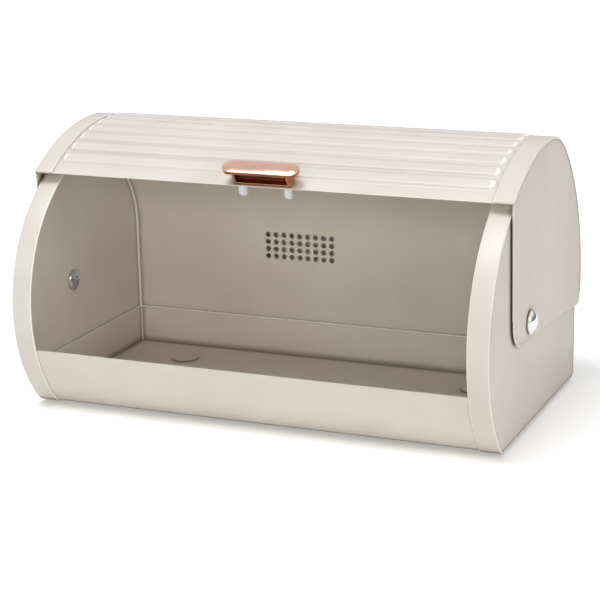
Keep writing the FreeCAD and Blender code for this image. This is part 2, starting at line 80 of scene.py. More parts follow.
CAP_X = 165.3                # outer face of the end caps
CAP_BAND = 14.2
NOSE_CENTRE = (-10.1, 70.3)
NOSE_RADIUS = 94.6
CROWN_RADIUS = 138.25
SHOULDER_RADIUS = 50.0
REAR_RADIUS = 120.6
EDGE_Z = 1.6
TOE_RADIUS = 6.0
HEEL_RADIUS = 5.0
WALL_Y = 74.5
WALL_BEND = 55.0
ROOF_BEND = 40.0
ROOF_RADIUS = 103.0
ROOF_FRONT_Y = -41.1
RIM_Z = 30.1                 # top of the tray's upstands
RIM_X = 164.1
RIM_FRONT_Y = -88.0
RIM_CORNER = 3.0

# Sizes of rolled and folded edges, in millimetres

GRACE = 0.03                 # keeps the bands inside the part's own outline
CAP_ROLL = 0.65              # radius of an end cap's rolled free edge
LID_ROLL = 0.4               # and of a lid band's
ROLL_STEPS = 8
TURN_RADIUS = 0.8            # where a band turns over its plate
TURN_STEPS = 6
FOLD_RADIUS = 0.3            # where the turned band folds in
FOLD_STEPS = 4
FOLD_INSET = 1.7             # from the profile to the fold's end
PLATE_INSET = 1.82           # and to the plate's rim, beside it
PLATE_SUNK = 0.25            # the plate's face below the fold
PLATE_ROUND = 0.25           # rounding of a plate's outer rim
PLATE_BREAK = 0.1            # bevel of its inner rim
HEM_TOP = 2.2                # from the lid's curve to the hem
PLATE_BEAD = 0.45            # radius of the lower edge's bead
PLATE_BEAD_INSET = 0.3
WALL_BEAD = 1.05             # radius of the rear wall's turned edge, in the corner
WALL_BEAD_INSET = 0.5
RIM_BEAD = 0.55              # radius of the tray's rolled rim
RIM_BEAD_DROP = 0.2

# Sizes of the handle, in millimetres

HANDLE_SETBACK = 5.6         # middle of its foot behind the lid's front edge
BAR_LENGTH = 53.3
BAR_DEPTH = 11.3
BAR_CORNER = 5.63
BAR_LOW = 9.0
BAR_HIGH = 12.6
BAR_UNDER_ROUND = 0.65
CROWN_RISE = 0.95            # of the bar's top over its sides
NECK_LENGTH = 41.5
NECK_DEPTH = 8.5
NECK_CORNER = 2.5
NECK_LAP = 0.2               # of the neck into the bar
RECESS_LENGTH = 35.5
RECESS_DEPTH = 4.2
RECESS_FLOOR = 1.4
HANDLE_ROUND = 0.3           # of its buffed edges
TOUCH = 0.01                 # slack for a face that lies on a limit, and the least corner

# Fineness of the curved meshes, in millimetres and radians

SHEET_ROWS = 640             # along the shell, one every 0.4 mm
END_COLUMN = 0.35            # between columns across a rib's round end
END_LEAD = 0.4               # from their first column to that end's middle
STEP_LEAD = 0.3              # from the open shell's last column to its step under the band
STEP_HALF = 0.01             # half the step's width
EDGE_TURN = 0.2              # between points round the shell's front edge
EDGE_TIP = 0.12              # left flat at its tip
FLANGE_STEP = 2.0
LINE_STEP = 1.0
CORNER_SHARE = 0.1           # between points round a plate's corner, as a share of it
BAR_CORNER_STEPS = 10
NECK_CORNER_STEPS = 5
CROWN_STEP = 0.02
CROWN_CREST = 0.01           # left level on the bar's crest

# Camera, set at the photograph's viewing angle, and the studio's light, in metres and degrees

CAMERA_PLACE = (0.4791, -1.12055, 0.4010)
CAMERA_YAW = 23.218
CAMERA_PITCH = 15.299
CAMERA_ROLL = 1.180
CAMERA_LENS = 111.0
FLOOR_HALF = 30.0
FLOOR_GLOW = 0.30            # under the object, as a share of the glow far from it
FLOOR_NEAR = 0.3             # where that glow starts to rise
FLOOR_FAR = 2.5              # and where it is full
SKY_LEVEL = 0.12
MIRRORED_ROOM = [(0.1, 0.18), (0.24, 0.4), (0.42, 1.0), (1.0, 0.85)]    # grey at each height


# Small helpers


def linear(code):
    """An sRGB hex colour as linear values."""
    values = [int(code[place:place + 2], 16) / 255 for place in (1, 3, 5)]
    return [v / 12.92 if v <= 0.04045 else ((v + 0.055) / 1.055) ** 2.4 for v in values] + [1.0]


def grey(level):
    return [level, level, level, 1.0]


def tones(dark, light):
    """Stops that spread a cloudy pattern, which keeps near its middle, over two colours."""
    return [(0.35, linear(dark)), (0.65, linear(light))]


def levels(low, high):
    """Stops that spread such a pattern over two levels of a value."""
    return [(0.35, grey(low)), (0.65, grey(high))]


def scale_of(size):
    """Scale of a pattern whose blobs are about one size, in millimetres."""
    return 1 / (size * MM)


def add(tree, kind, sockets=None, stops=(), **settings):
    """One node: its settings, a ramp's stops, and for each input a value or what feeds it.
    A node that is given to an input stands for its first output."""
    node = tree.nodes.new(kind)
    for name, value in settings.items():
        setattr(node, name, value)
    for number, (place, colour) in enumerate(stops):
        known = node.color_ramp.elements
        stop = known[number] if number < 2 else known.new(place)
        stop.position = place
        stop.color = colour
    for name, value in (sockets or {}).items():
        source = value.outputs[0] if isinstance(value, bpy.types.Node) else value
        if isinstance(source, bpy.types.NodeSocket):
            tree.links.new(source, node.inputs[name])
        else:
            node.inputs[name].default_value = source
    return node


def begin(name):
    """An empty material with the object's own coordinates, in metres."""
    material = bpy.data.materials.new(name)
    material.use_nodes = True
    tree = material.node_tree
    tree.nodes.clear()
    place = add(tree, "ShaderNodeTexCoord").outputs["Object"]
    return material, tree, place


def steps(low, high, size):
    """Even steps of about one size from a low to a high value, with both of them."""
    count = max(1, round(abs(high - low) / size))
    return [low + (high - low) * number / count for number in range(count + 1)]


# Materials, each made once


def powder_coat(name, dark, light, crease_shade_colour):
    """Polyester powder coat baked on steel: an even warm off-white, satin, with a faint orange peel.
    The real peel is 1 to 2 mm across and a few micrometres deep, and is drawn at 1.6 mm.
    Shade is painted into its grooves and creases: the colour darkens towards the crease colour where
    little open sky reaches. A lighter copy of it serves as painted highlight over rolled edges."""
    material, tree, place = begin(name)
    cloud = add(tree, "ShaderNodeTexNoise", {"Vector": place, "Scale": scale_of(45)})
    peel = add(tree, "ShaderNodeTexNoise", {"Vector": place, "Scale": scale_of(1.6)})
    coat = add(tree, "ShaderNodeValToRGB", {"Fac": cloud}, tones(dark, light))
    # Painted shade: ambient occlusion darkens the colour in grooves, creases and joints between parts
    open_sky = add(tree, "ShaderNodeAmbientOcclusion", {"Distance": 5 * MM}, samples=6).outputs["AO"]
    painted_crease_shade = add(tree, "ShaderNodeValToRGB", {"Fac": open_sky}, [(0.58, crease_shade_colour), (0.98, grey(1.0))])
    edges = add(tree, "ShaderNodeBevel", {"Radius": 0.4 * MM}, samples=6)
    relief = {"Height": peel, "Distance": 0.012 * MM, "Strength": 1.0, "Normal": edges}
    shader = add(tree, "ShaderNodeBsdfPrincipled", {
        "Base Color": add(tree, "ShaderNodeVectorMath", {0: coat, 1: painted_crease_shade}, operation="MULTIPLY"),
        "Roughness": add(tree, "ShaderNodeValToRGB", {"Fac": cloud}, levels(0.34, 0.40)),
        "Normal": add(tree, "ShaderNodeBump", relief),
        "IOR": 1.5,
    })
    add(tree, "ShaderNodeOutputMaterial", {"Surface": shader})
    return material


def polished_copper_plate():
    """Bright copper-toned plating on a buffed zinc casting: mirror-like, pink where it sees light."""
    material, tree, place = begin("polished_copper_plate")
    cloud = add(tree, "ShaderNodeTexNoise", {"Vector": place, "Scale": scale_of(12)})
    buffing = add(tree, "ShaderNodeTexNoise", {"Vector": place, "Scale": scale_of(0.9)})
    edges = add(tree, "ShaderNodeBevel", {"Radius": 0.3 * MM}, samples=6)
    relief = {"Height": buffing, "Distance": 0.002 * MM, "Strength": 1.0, "Normal": edges}
    shader = add(tree, "ShaderNodeBsdfPrincipled", {
        "Base Color": add(tree, "ShaderNodeValToRGB", {"Fac": cloud}, tones("#DCB0A0", "#E1B8A9")),
        "Metallic": 1.0,
        "Roughness": add(tree, "ShaderNodeValToRGB", {"Fac": cloud}, levels(0.09, 0.14)),
        "Normal": add(tree, "ShaderNodeBump", relief),
    })
    add(tree, "ShaderNodeOutputMaterial", {"Surface": shader})
    return material


def copper_plate_painted_side_reflection():
    """The plating on the sides and the neck: rougher, with a deeper orange brown painted in as the
    reflection those faces show.
    """
    material, tree, place = begin("copper_plate_painted_side_reflection")
    cloud = add(tree, "ShaderNodeTexNoise", {"Vector": place, "Scale": scale_of(8)})
    grain = add(tree, "ShaderNodeTexNoise", {"Vector": place, "Scale": scale_of(0.8)})
    edges = add(tree, "ShaderNodeBevel", {"Radius": 0.3 * MM}, samples=6)
    relief = {"Height": grain, "Distance": 0.003 * MM, "Strength": 1.0, "Normal": edges}
    shader = add(tree, "ShaderNodeBsdfPrincipled", {
        "Base Color": add(tree, "ShaderNodeValToRGB", {"Fac": cloud}, tones("#BE7F60", "#C88A6A")),
        "Metallic": 1.0,
        "Roughness": add(tree, "ShaderNodeValToRGB", {"Fac": cloud}, levels(0.16, 0.22)),
        "Normal": add(tree, "ShaderNodeBump", relief),
    })
    add(tree, "ShaderNodeOutputMaterial", {"Surface": shader})
    return material


def copper_plate_painted_recess_shade():
    """The same plating inside the pull's recess: rougher, and painted a dull dark brown as the shade
    there.
    """
    material, tree, place = begin("copper_plate_painted_recess_shade")
    cloud = add(tree, "ShaderNodeTexNoise", {"Vector": place, "Scale": scale_of(6)})
    grain = add(tree, "ShaderNodeTexNoise", {"Vector": place, "Scale": scale_of(0.6)})
    edges = add(tree, "ShaderNodeBevel", {"Radius": 0.2 * MM}, samples=6)
    relief = {"Height": grain, "Distance": 0.01 * MM, "Strength": 1.0, "Normal": edges}
    shader = add(tree, "ShaderNodeBsdfPrincipled", {
        "Base Color": add(tree, "ShaderNodeValToRGB", {"Fac": cloud}, tones("#5A3828", "#6E4633")),
        "Metallic": 0.8,
        "Roughness": add(tree, "ShaderNodeValToRGB", {"Fac": grain}, levels(0.35, 0.5)),
        "Normal": add(tree, "ShaderNodeBump", relief),
    })
    add(tree, "ShaderNodeOutputMaterial", {"Surface": shader})
    return material


def bright_chrome():
    """Chrome plate on a turned steel nut: cool and mirror-bright."""
    material, tree, place = begin("bright_chrome")
    cloud = add(tree, "ShaderNodeTexNoise", {"Vector": place, "Scale": scale_of(4)})
    shader = add(tree, "ShaderNodeBsdfPrincipled", {
        "Base Color": add(tree, "ShaderNodeValToRGB", {"Fac": cloud}, tones("#E3E5E7", "#ECEDEE")),
        "Metallic": 1.0,
        "Roughness": add(tree, "ShaderNodeValToRGB", {"Fac": cloud}, levels(0.05, 0.09)),
        "Normal": add(tree, "ShaderNodeBevel", {"Radius": 0.2 * MM}, samples=6),
    })
    add(tree, "ShaderNodeOutputMaterial", {"Surface": shader})
    return material


def bright_zinc():
    """Zinc plate on cold-headed steel screws: bluish grey, softer than chrome, with a fine grain.
    The real crystals are some 50 micrometres across, and are drawn at 0.5 mm."""
    material, tree, place = begin("bright_zinc")
    grain = add(tree, "ShaderNodeTexNoise", {"Vector": place, "Scale": scale_of(0.5)})
    edges = add(tree, "ShaderNodeBevel", {"Radius": 0.2 * MM}, samples=6)
    relief = {"Height": grain, "Distance": 0.008 * MM, "Strength": 1.0, "Normal": edges}
    shader = add(tree, "ShaderNodeBsdfPrincipled", {
        "Base Color": add(tree, "ShaderNodeValToRGB", {"Fac": grain}, tones("#C6CACE", "#D8DBDE")),
        "Metallic": 1.0,
        "Roughness": add(tree, "ShaderNodeValToRGB", {"Fac": grain}, levels(0.13, 0.22)),
        "Normal": add(tree, "ShaderNodeBump", relief),
    })
    add(tree, "ShaderNodeOutputMaterial", {"Surface": shader})
    return material


def moulded_nylon():
    """Natural moulded nylon: creamy white and slightly waxy, with a fine spark-eroded grain.
    The real grain is 0.05 mm, and is drawn at 0.4 mm."""
    material, tree, place = begin("moulded_nylon")
    grain = add(tree, "ShaderNodeTexNoise", {"Vector": place, "Scale": scale_of(0.4)})
    edges = add(tree, "ShaderNodeBevel", {"Radius": 0.2 * MM}, samples=6)
    relief = {"Height": grain, "Distance": 0.01 * MM, "Strength": 1.0, "Normal": edges}
    shader = add(tree, "ShaderNodeBsdfPrincipled", {
        "Base Color": add(tree, "ShaderNodeValToRGB", {"Fac": grain}, tones("#DDDACF", "#E5E2D8")),
        "Roughness": 0.45,
        "Subsurface Weight": 0.2,
        "Subsurface Radius": (2.0 * MM, 1.8 * MM, 1.5 * MM),
        "Normal": add(tree, "ShaderNodeBump", relief),
        "IOR": 1.53,
    })
    add(tree, "ShaderNodeOutputMaterial", {"Surface": shader})
    return material


def milky_silicone():
    """Moulded silicone without pigment: milky, with light that comes through its edges."""
    material, tree, place = begin("milky_silicone")
    cloud = add(tree, "ShaderNodeTexNoise", {"Vector": place, "Scale": scale_of(2)})
    edges = add(tree, "ShaderNodeBevel", {"Radius": 0.2 * MM}, samples=6)
    relief = {"Height": cloud, "Distance": 0.03 * MM, "Strength": 1.0, "Normal": edges}
    shader = add(tree, "ShaderNodeBsdfPrincipled", {
        "Base Color": add(tree, "ShaderNodeValToRGB", {"Fac": cloud}, tones("#F0EEF0", "#F7F6F8")),
        "Roughness": 0.22,
        "Transmission Weight": 0.12,
        "Subsurface Weight": 0.7,
        "Subsurface Radius": (4 * MM, 4 * MM, 4 * MM),
        "Normal": add(tree, "ShaderNodeBump", relief),
        "IOR": 1.41,
    })
    add(tree, "ShaderNodeOutputMaterial", {"Surface": shader})
    return material


def rubber(name, dark, light):
    """Moulded rubber: matt, with a bloom that greys it unevenly and a grain of about 0.3 mm,
    drawn at 0.5 mm."""
    material, tree, place = begin(name)
    bloom = add(tree, "ShaderNodeTexNoise", {"Vector": place, "Scale": scale_of(4)})
    grain = add(tree, "ShaderNodeTexNoise", {"Vector": place, "Scale": scale_of(0.5)})
    edges = add(tree, "ShaderNodeBevel", {"Radius": 0.3 * MM}, samples=6)
    relief = {"Height": grain, "Distance": 0.02 * MM, "Strength": 1.0, "Normal": edges}
    shader = add(tree, "ShaderNodeBsdfPrincipled", {
        "Base Color": add(tree, "ShaderNodeValToRGB", {"Fac": bloom}, tones(dark, light)),
        "Roughness": add(tree, "ShaderNodeValToRGB", {"Fac": bloom}, levels(0.6, 0.75)),
        "Normal": add(tree, "ShaderNodeBump", relief),
        "IOR": 1.52,
    })
    add(tree, "ShaderNodeOutputMaterial", {"Surface": shader})
    return material


def seen(tree):
    """1 for rays from the camera, from gloss and through clear parts, and 0 for light on the object."""
    rays = add(tree, "ShaderNodeLightPath").outputs
    direct = {0: rays["Is Camera Ray"], 1: rays["Is Glossy Ray"]}
    either = {0: add(tree, "ShaderNodeMath", direct, operation="MAXIMUM"), 1: rays["Is Transmission Ray"]}
    return add(tree, "ShaderNodeMath", either, operation="MAXIMUM")


def pale_floor():
    """Matt white studio floor, which keeps the shadows and reads white where it is clear.
    For rays from the camera and from gloss it also glows, as painted light: less under the object, so
    that its shadow stays, and fully far away, where the lamps' light falls off."""
    material, tree, place = begin("matt_white_studio_floor")
    cloud = add(tree, "ShaderNodeTexNoise", {"Vector": place, "Scale": scale_of(600)})
    colour = add(tree, "ShaderNodeValToRGB", {"Fac": cloud}, tones("#F3F3F2", "#F6F6F5"))
    lit = add(tree, "ShaderNodeBsdfDiffuse", {"Color": colour})
    away = add(tree, "ShaderNodeVectorMath", {0: place}, operation="LENGTH").outputs["Value"]
    strength = add(tree, "ShaderNodeMapRange", {
        "Value": away,
        "From Min": FLOOR_NEAR,
        "From Max": FLOOR_FAR,
        "To Min": FLOOR_GLOW,
        "To Max": 1.0,
    })
    glow = add(tree, "ShaderNodeEmission", {"Color": grey(1.0), "Strength": strength})
    both = add(tree, "ShaderNodeAddShader", {0: lit, 1: glow})
    choice = add(tree, "ShaderNodeMixShader", {0: seen(tree), 1: lit, 2: both})
    add(tree, "ShaderNodeOutputMaterial", {"Surface": choice})
    return material


# The last colour is the painted shade in grooves and creases
powder = powder_coat("satin_powder_coat", "#DBD3C8", "#E0D9CF", (0.43, 0.38, 0.31, 1.0))
# Painted highlight: a lighter copy of the coat for rolled edges, beads and rib ends
highlight_powder = powder_coat("satin_powder_coat_painted_highlight", "#F5F1EA", "#F8F4EE", grey(1.0))
copper = polished_copper_plate()
side_reflection_copper = copper_plate_painted_side_reflection()
recess_shade_copper = copper_plate_painted_recess_shade()
chrome = bright_chrome()
zinc = bright_zinc()
nylon = moulded_nylon()
silicone = milky_silicone()
foot_rubber = rubber("matt_black_rubber", "#222120", "#2E2D2B")
stop_rubber = rubber("matt_grey_rubber", "#77736C", "#827E77")


# The finish of each solid


def pair(name):
    """The names of a left and a right node."""
    return [name + "_left", name + "_right"]


FINISHES = [
    (powder, ["base_tray", "back_panel", "lid_shell"] + pair("end_cap") + pair("lid_end")),
    (copper, ["handle"]),
    (zinc, ["handle_screws"] + pair("pivot_screw")),
    (silicone, pair("bumper")),
    (chrome, pair("pivot_nut")),
    (nylon, pair("pivot_washer") + pair("pivot_spacer")),
    (stop_rubber, pair("lid_stop")),
    (foot_rubber, pair("foot_front") + pair("foot_rear")),
]
for finish, nodes in FINISHES:
    for node in nodes:
        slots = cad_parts[node].data.materials
        slots.clear()
        slots.append(finish)


# Side profiles of the lid and the body, as points in y and z


def heading_of(start, end):
    return math.atan2(end[1] - start[1], end[0] - start[0])


def arc_points(centre, radius, first, last, count):
    """Points of an arc from one heading to another."""
    turns = [first + (last - first) * number / count for number in range(count + 1)]
    return [(centre[0] + radius * math.cos(turn), centre[1] + radius * math.sin(turn)) for turn in turns]


def crossing(centre_a, radius_a, centre_b, radius_b):
    """Where two circles cross, on the upper rear side."""
    dy, dz = centre_b[0] - centre_a[0], centre_b[1] - centre_a[1]
    apart = math.hypot(dy, dz)
    along = (radius_a ** 2 - radius_b ** 2 + apart ** 2) / (2 * apart)
    across = math.sqrt(radius_a ** 2 - along ** 2)
    spots = []
    for side in (-1, 1):
        y = centre_a[0] + along * dy / apart - side * across * dz / apart
        z = centre_a[1] + along * dz / apart + side * across * dy / apart
        spots.append((y, z))
    return max(spots, key=sum)


def lid_arcs(depth):
    """The lid's crown, shoulder and rear: centre, radius, first and last heading."""
    crown = LID_CROWN_RADIUS - depth
    shoulder = LID_SHOULDER_RADIUS - depth
    rear = LID_REAR_RADIUS - depth
    middle = crossing(CROWN_CENTRE, crown - shoulder, PIVOT, rear - shoulder)
    start = math.acos((FRONT_CORNER_Y - CROWN_CENTRE[0]) / LID_CROWN_RADIUS)
    knee = heading_of(CROWN_CENTRE, middle)
    heel = heading_of(PIVOT, middle)
    end = -math.radians(LID_REAR_ANGLE)
    return [(CROWN_CENTRE, crown, start, knee), (middle, shoulder, knee, heel), (PIVOT, rear, heel, end)]


def lid_length(depth):
    return sum(radius * (first - last) for centre, radius, first, last in lid_arcs(depth))


def lid_point(distance, depth):
    """Point and heading on the lid, at a distance along the curve that the ribs are set out on."""
    share = distance / lid_length(SHEET) * lid_length(depth)
    for centre, radius, first, last in lid_arcs(depth):
        if share <= radius * (first - last) + 1e-6:
            break
        share -= radius * (first - last)
    heading = first - share / radius
    return centre[0] + radius * math.cos(heading), centre[1] + radius * math.sin(heading), heading


def lid_line(depth):
    """The lid's curve at a depth, from the front corner to the start of the rear corner's rounding."""
    end = lid_length(SHEET) - PLATE_REAR_CUT
    return [lid_point(distance, depth)[:2] for distance in steps(0, end, LINE_STEP)]


def rounded_corner(before, corner, after, radius):
    """Points of the arc that rounds a corner between two straight lines."""
    corner = Vector(corner[:2])
    first = (Vector(before[:2]) - corner).normalized()
    second = (Vector(after[:2]) - corner).normalized()
    half = first.angle(second) / 2
    centre = corner + (first + second).normalized() * (radius / math.sin(half))
    reach = radius / math.tan(half)
    start, stop = corner + first * reach, corner + second * reach
    points = []
    for share in steps(0, 1, CORNER_SHARE):
        ray = (start - centre).slerp(stop - centre, share)
        points.append(tuple(centre + ray.normalized() * radius))
    return points


def lid_plate_line(depth):
    """Outline of a lid side plate: its curve at a depth, then its rounded lower corners."""
    line = lid_line(depth)
    foot = (PIVOT[0] - PLATE_FRONT, PIVOT[1] - PLATE_DROP)
    end = lid_point(lid_length(SHEET), depth)
    rear = rounded_corner(line[-1], end, foot, PLATE_REAR_CORNER)
    return line + rear + rounded_corner(end, foot, line[0], PLATE_FRONT_CORNER)


def hem_line():
    """Outline of the hem folded back behind the front edge of a lid side plate."""
    top = Vector(lid_point(0, HEM_TOP)[:2])
    foot = Vector((PIVOT[0] - PLATE_FRONT, PIVOT[1] - PLATE_DROP))
    down = (foot - top).normalized()
    foot -= down * HEM_STOP
    behind = Vector((-down.y, down.x)) * HEM_WIDTH
    return [tuple(spot) for spot in (top, top + behind, foot + behind, foot)]


def body_line(inset):
    """The body's side profile, drawn in by an inset, from its lower front corner round to the rear."""
    nose = NOSE_RADIUS - inset
    crown = CROWN_RADIUS - inset
    rear = REAR_RADIUS - inset
    shoulder = SHOULDER_RADIUS - inset
    toe = TOE_RADIUS - inset
    heel = HEEL_RADIUS - inset
    toe_z = EDGE_Z + TOE_RADIUS
    toe_y = NOSE_CENTRE[0] - math.sqrt((nose - toe) ** 2 - (toe_z - NOSE_CENTRE[1]) ** 2)
    toe_centre = (toe_y, toe_z)
    heel_centre = (PIVOT[0] + REAR_RADIUS - HEEL_RADIUS, EDGE_Z + HEEL_RADIUS)
    middle = crossing(CROWN_CENTRE, crown - shoulder, PIVOT, rear - shoulder)
    toe_top = heading_of(NOSE_CENTRE, toe_centre) + 2 * math.pi
    brow = heading_of(CROWN_CENTRE, NOSE_CENTRE)
    knee = heading_of(CROWN_CENTRE, middle)
    back = heading_of(PIVOT, middle)
    line = arc_points(toe_centre, toe, 1.5 * math.pi, toe_top, 8)
    line += arc_points(NOSE_CENTRE, nose, toe_top, brow, 90)[1:]
    line += arc_points(CROWN_CENTRE, crown, brow, knee, 90)[1:]
    line += arc_points(middle, shoulder, knee, back, 50)[1:]
    line += arc_points(PIVOT, rear, back, 0, 70)[1:]
    return line + arc_points(heel_centre, heel, 0, -0.5 * math.pi, 8)


def wall_line(inset):
    """The rear wall and roof, drawn in by an inset, from the foot up to the roof's front edge."""
    near = ROOF_RADIUS - inset
    top = CROWN_RADIUS - SHEET - inset
    bend = WALL_BEND - inset
    crest = ROOF_BEND - inset
    bend_y = WALL_Y - WALL_BEND
    bend_centre = (bend_y, PIVOT[1] + math.sqrt((near - bend) ** 2 - (bend_y - PIVOT[0]) ** 2))
    crest_centre = crossing(CROWN_CENTRE, top - crest, PIVOT, near - crest)
    first = heading_of(PIVOT, bend_centre)
    second = heading_of(PIVOT, crest_centre)
    third = heading_of(CROWN_CENTRE, crest_centre)
    front = math.acos((ROOF_FRONT_Y - CROWN_CENTRE[0]) / top)
    line = [(WALL_Y - inset, EDGE_Z + 2 * SHEET)] + arc_points(bend_centre, bend, 0, first, 20)
    line += arc_points(PIVOT, near, first, second, 40)[1:]
    line += arc_points(crest_centre, crest, second, third, 20)[1:]
    return line + arc_points(CROWN_CENTRE, top, third, front, 20)[1:]


def drawn_in(line, inset):
    """A closed line moved square to itself, towards its left side."""
    moved = []
    for number, (y, z) in enumerate(line):
        before, after = line[number - 1], line[(number + 1) % len(line)]
        dy, dz = after[0] - before[0], after[1] - before[1]
        run = math.hypot(dy, dz)
        moved.append((y + inset * dz / run, z - inset * dy / run))
    return moved


# Meshes from rows of corners


def vertex(mesh, x, y, z):
    return mesh.verts.new((x * MM, y * MM, z * MM))


def strip(mesh, low, high, closed=False):
    """The faces between two rows of as many corners."""
    faces = []
    for number in range(len(low) if closed else len(low) - 1):
        other = (number + 1) % len(low)
        faces.append(mesh.faces.new((low[number], low[other], high[other], high[number])))
    return faces


def stack(mesh, loops):
    """Closed loops of corners joined one to the next, with the first and the last filled."""
    for low, high in zip(loops, loops[1:]):
        strip(mesh, low, high, True)
    mesh.faces.new(loops[0])
    mesh.faces.new(loops[-1])


def finished(name, mesh, sharp):
    """An object from its mesh, smooth but for edges sharper than an angle in degrees."""
    bmesh.ops.recalc_face_normals(mesh, faces=mesh.faces)
    data = bpy.data.meshes.new(name)
    mesh.to_mesh(data)
    mesh.free()
    data.shade_smooth()
    data.set_sharp_from_angle(angle=math.radians(sharp))
    piece = bpy.data.objects.new(name, data)
    bpy.context.scene.collection.objects.link(piece)
    return piece


def swept_sheet(name, columns):
    """A sheet from the middle lines at places across it: two faces, and edges that close them."""
    mesh = bmesh.new()
    layers = []
    for side in (-1, 1):
        rows = []
        for across, spots in columns:
            row = []
            for number, (y, z, half) in enumerate(spots):
                before = spots[max(number - 1, 0)]
                after = spots[min(number + 1, len(spots) - 1)]
                dy, dz = after[0] - before[0], after[1] - before[1]
                shift = side * half / math.hypot(dy, dz)
                row.append(vertex(mesh, across, y - dz * shift, z + dy * shift))
            rows.append(row)
        for near, far in zip(rows, rows[1:]):
            strip(mesh, near, far)
        layers.append(rows)
    inner, outer = layers
    for end in (0, -1):
        strip(mesh, inner[end], outer[end])
        strip(mesh, [row[end] for row in inner], [row[end] for row in outer])
    return finished(name, mesh, 40)


def band_section(outer_x, width, roll):
    """Section of a band: from its free edge, out and over the corner, to its fold on the plate.
    Each point is a place across and a depth below the profile. The free edge is rolled to a radius."""
    free_x = outer_x - width
    section = []
    for turn in steps(0.5 * math.pi, -0.5 * math.pi, math.pi / ROLL_STEPS):
        section.append((free_x + roll - roll * math.cos(turn), GRACE + roll + roll * math.sin(turn)))
    for turn in steps(0, 0.5 * math.pi, 0.5 * math.pi / TURN_STEPS):
        x = outer_x - TURN_RADIUS * (1 - math.sin(turn))
        section.append((x, GRACE + TURN_RADIUS * (1 - math.cos(turn))))
    for turn in steps(0, 0.5 * math.pi, 0.5 * math.pi / FOLD_STEPS):
        x = outer_x - FOLD_RADIUS * (1 - math.cos(turn))
        section.append((x, FOLD_INSET - FOLD_RADIUS * (1 - math.sin(turn))))
    section.append((outer_x - SHEET, FOLD_INSET))
    section.append((outer_x - SHEET, SHEET))
    section.append((free_x + 2 * roll, SHEET))
    return section


def swept_section(mesh, section, line_at, side, closed):
    """A section moved along a profile line, which line_at gives for each depth. Its rolled edge and
    the outer part of the turn over its plate get the second material, the coat with painted highlight."""
    turn_start = ROLL_STEPS + 1
    turned = range(turn_start + TURN_STEPS // 3, turn_start + TURN_STEPS + 1)
    columns = []
    for x, depth in section:
        columns.append([vertex(mesh, side * x, y, z) for y, z in line_at(depth)])
    for number, column in enumerate(columns):
        for face in strip(mesh, column, columns[(number + 1) % len(columns)], closed):
            # Painted highlight on the rolled edge and the outer part of the turn
            face.material_index = int(number < ROLL_STEPS or number in turned)
    if not closed:
        for place in (0, -1):
            mesh.faces.new([column[place] for column in columns])


def plate(mesh, line, inner_x, outer_x, side):
    """A flat plate with the outline of a closed line, its outer rim rounded a little."""
    rims = [(inner_x, PLATE_BREAK), (inner_x + PLATE_BREAK, 0)]
    for turn in steps(0, 0.5 * math.pi, 0.25 * math.pi):
        rims.append((outer_x - PLATE_ROUND * (1 - math.sin(turn)), PLATE_ROUND * (1 - math.cos(turn))))
    stack(mesh, [[vertex(mesh, side * x, y, z) for y, z in drawn_in(line, inset)] for x, inset in rims])


def powder_coated(piece, body, node):
    """Coat a sheet piece, with a second material painted lighter as highlight for its edges, and let it
    ride a body in a node's stead.
    """
    piece.data.materials.append(powder)
    piece.data.materials.append(highlight_powder)
    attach(piece, body)
    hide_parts(node)


def bead(name, points, radius, body):
    """A rounded edge along a line of points, in millimetres, coated lighter as a painted highlight."""
    data = bpy.data.curves.new(name, "CURVE")
    data.dimensions = "3D"
    data.bevel_depth = radius * MM
    data.bevel_resolution = 3
    data.use_fill_caps = True
    spline = data.splines.new("POLY")
    spline.points.add(len(points) - 1)
    for spot, (x, y, z) in zip(spline.points, points):
        spot.co = (x * MM, y * MM, z * MM, 1.0)
    spline.use_smooth = True
    piece = bpy.data.objects.new(name, data)
    bpy.context.scene.collection.objects.link(piece)
    data.materials.append(highlight_powder)
    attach(piece, body)


# The lid's ribbed sheet: one sheet swept along its curve, with a rounded front edge and pressed ribs


def rib_rise(distance, across):
    """Height of the ribs at a place on the sheet, with level tops, hollow flanks and round ends."""
    number = min(max(round((distance - RIB_FIRST) / RIB_PITCH), 0), RIB_COUNT - 1)
    off = math.hypot(distance - RIB_FIRST - number * RIB_PITCH, max(abs(across) - RIB_REACH, 0))
    flank = (off - RIB_FLAT / 2) / RIB_SIDE
    share = (flank + math.hypot(flank, RIB_SOFTNESS)) / 2
    return RIB_HEIGHT * (1 - min(share, 1)) ** 2


def sheet_middle(across):
    """The middle of the sheet at one place across the lid: points from the rounded front edge back,
    each with half the sheet's thickness. Its outer face is a little lower under the bands."""
    outer = SHELL_DEPTH if abs(across) < LID_X - LID_BAND - SEAM else SHEET
    depth, half = (outer + 2 * SHEET) / 2, (2 * SHEET - outer) / 2
    spots = []
    for turn in steps(EDGE_TIP, 0.5 * math.pi, EDGE_TURN)[:-1]:
        y, z, heading = lid_point(half * (1 - math.cos(turn)), depth)
        spots.append((y, z, half * math.sin(turn)))
    for share in steps(0, 1, 1 / SHEET_ROWS):
        distance = half + share * (lid_length(SHEET) - half)
        y, z, heading = lid_point(distance, depth)
        rise = rib_rise(distance, across)
        spots.append((y + rise * math.cos(heading), z + rise * math.sin(heading), half))
    return spots


def face_rise(spot):
    """How far a spot of the skin stands above the sheet, in millimetres."""
    for centre, radius, first, last in lid_arcs(SHELL_DEPTH):
        heading = math.atan2(spot.z - centre[1], spot.y - centre[0])
        if last <= heading <= first:
            return math.hypot(spot.y - centre[0], spot.z - centre[1]) - radius
    return 0.0


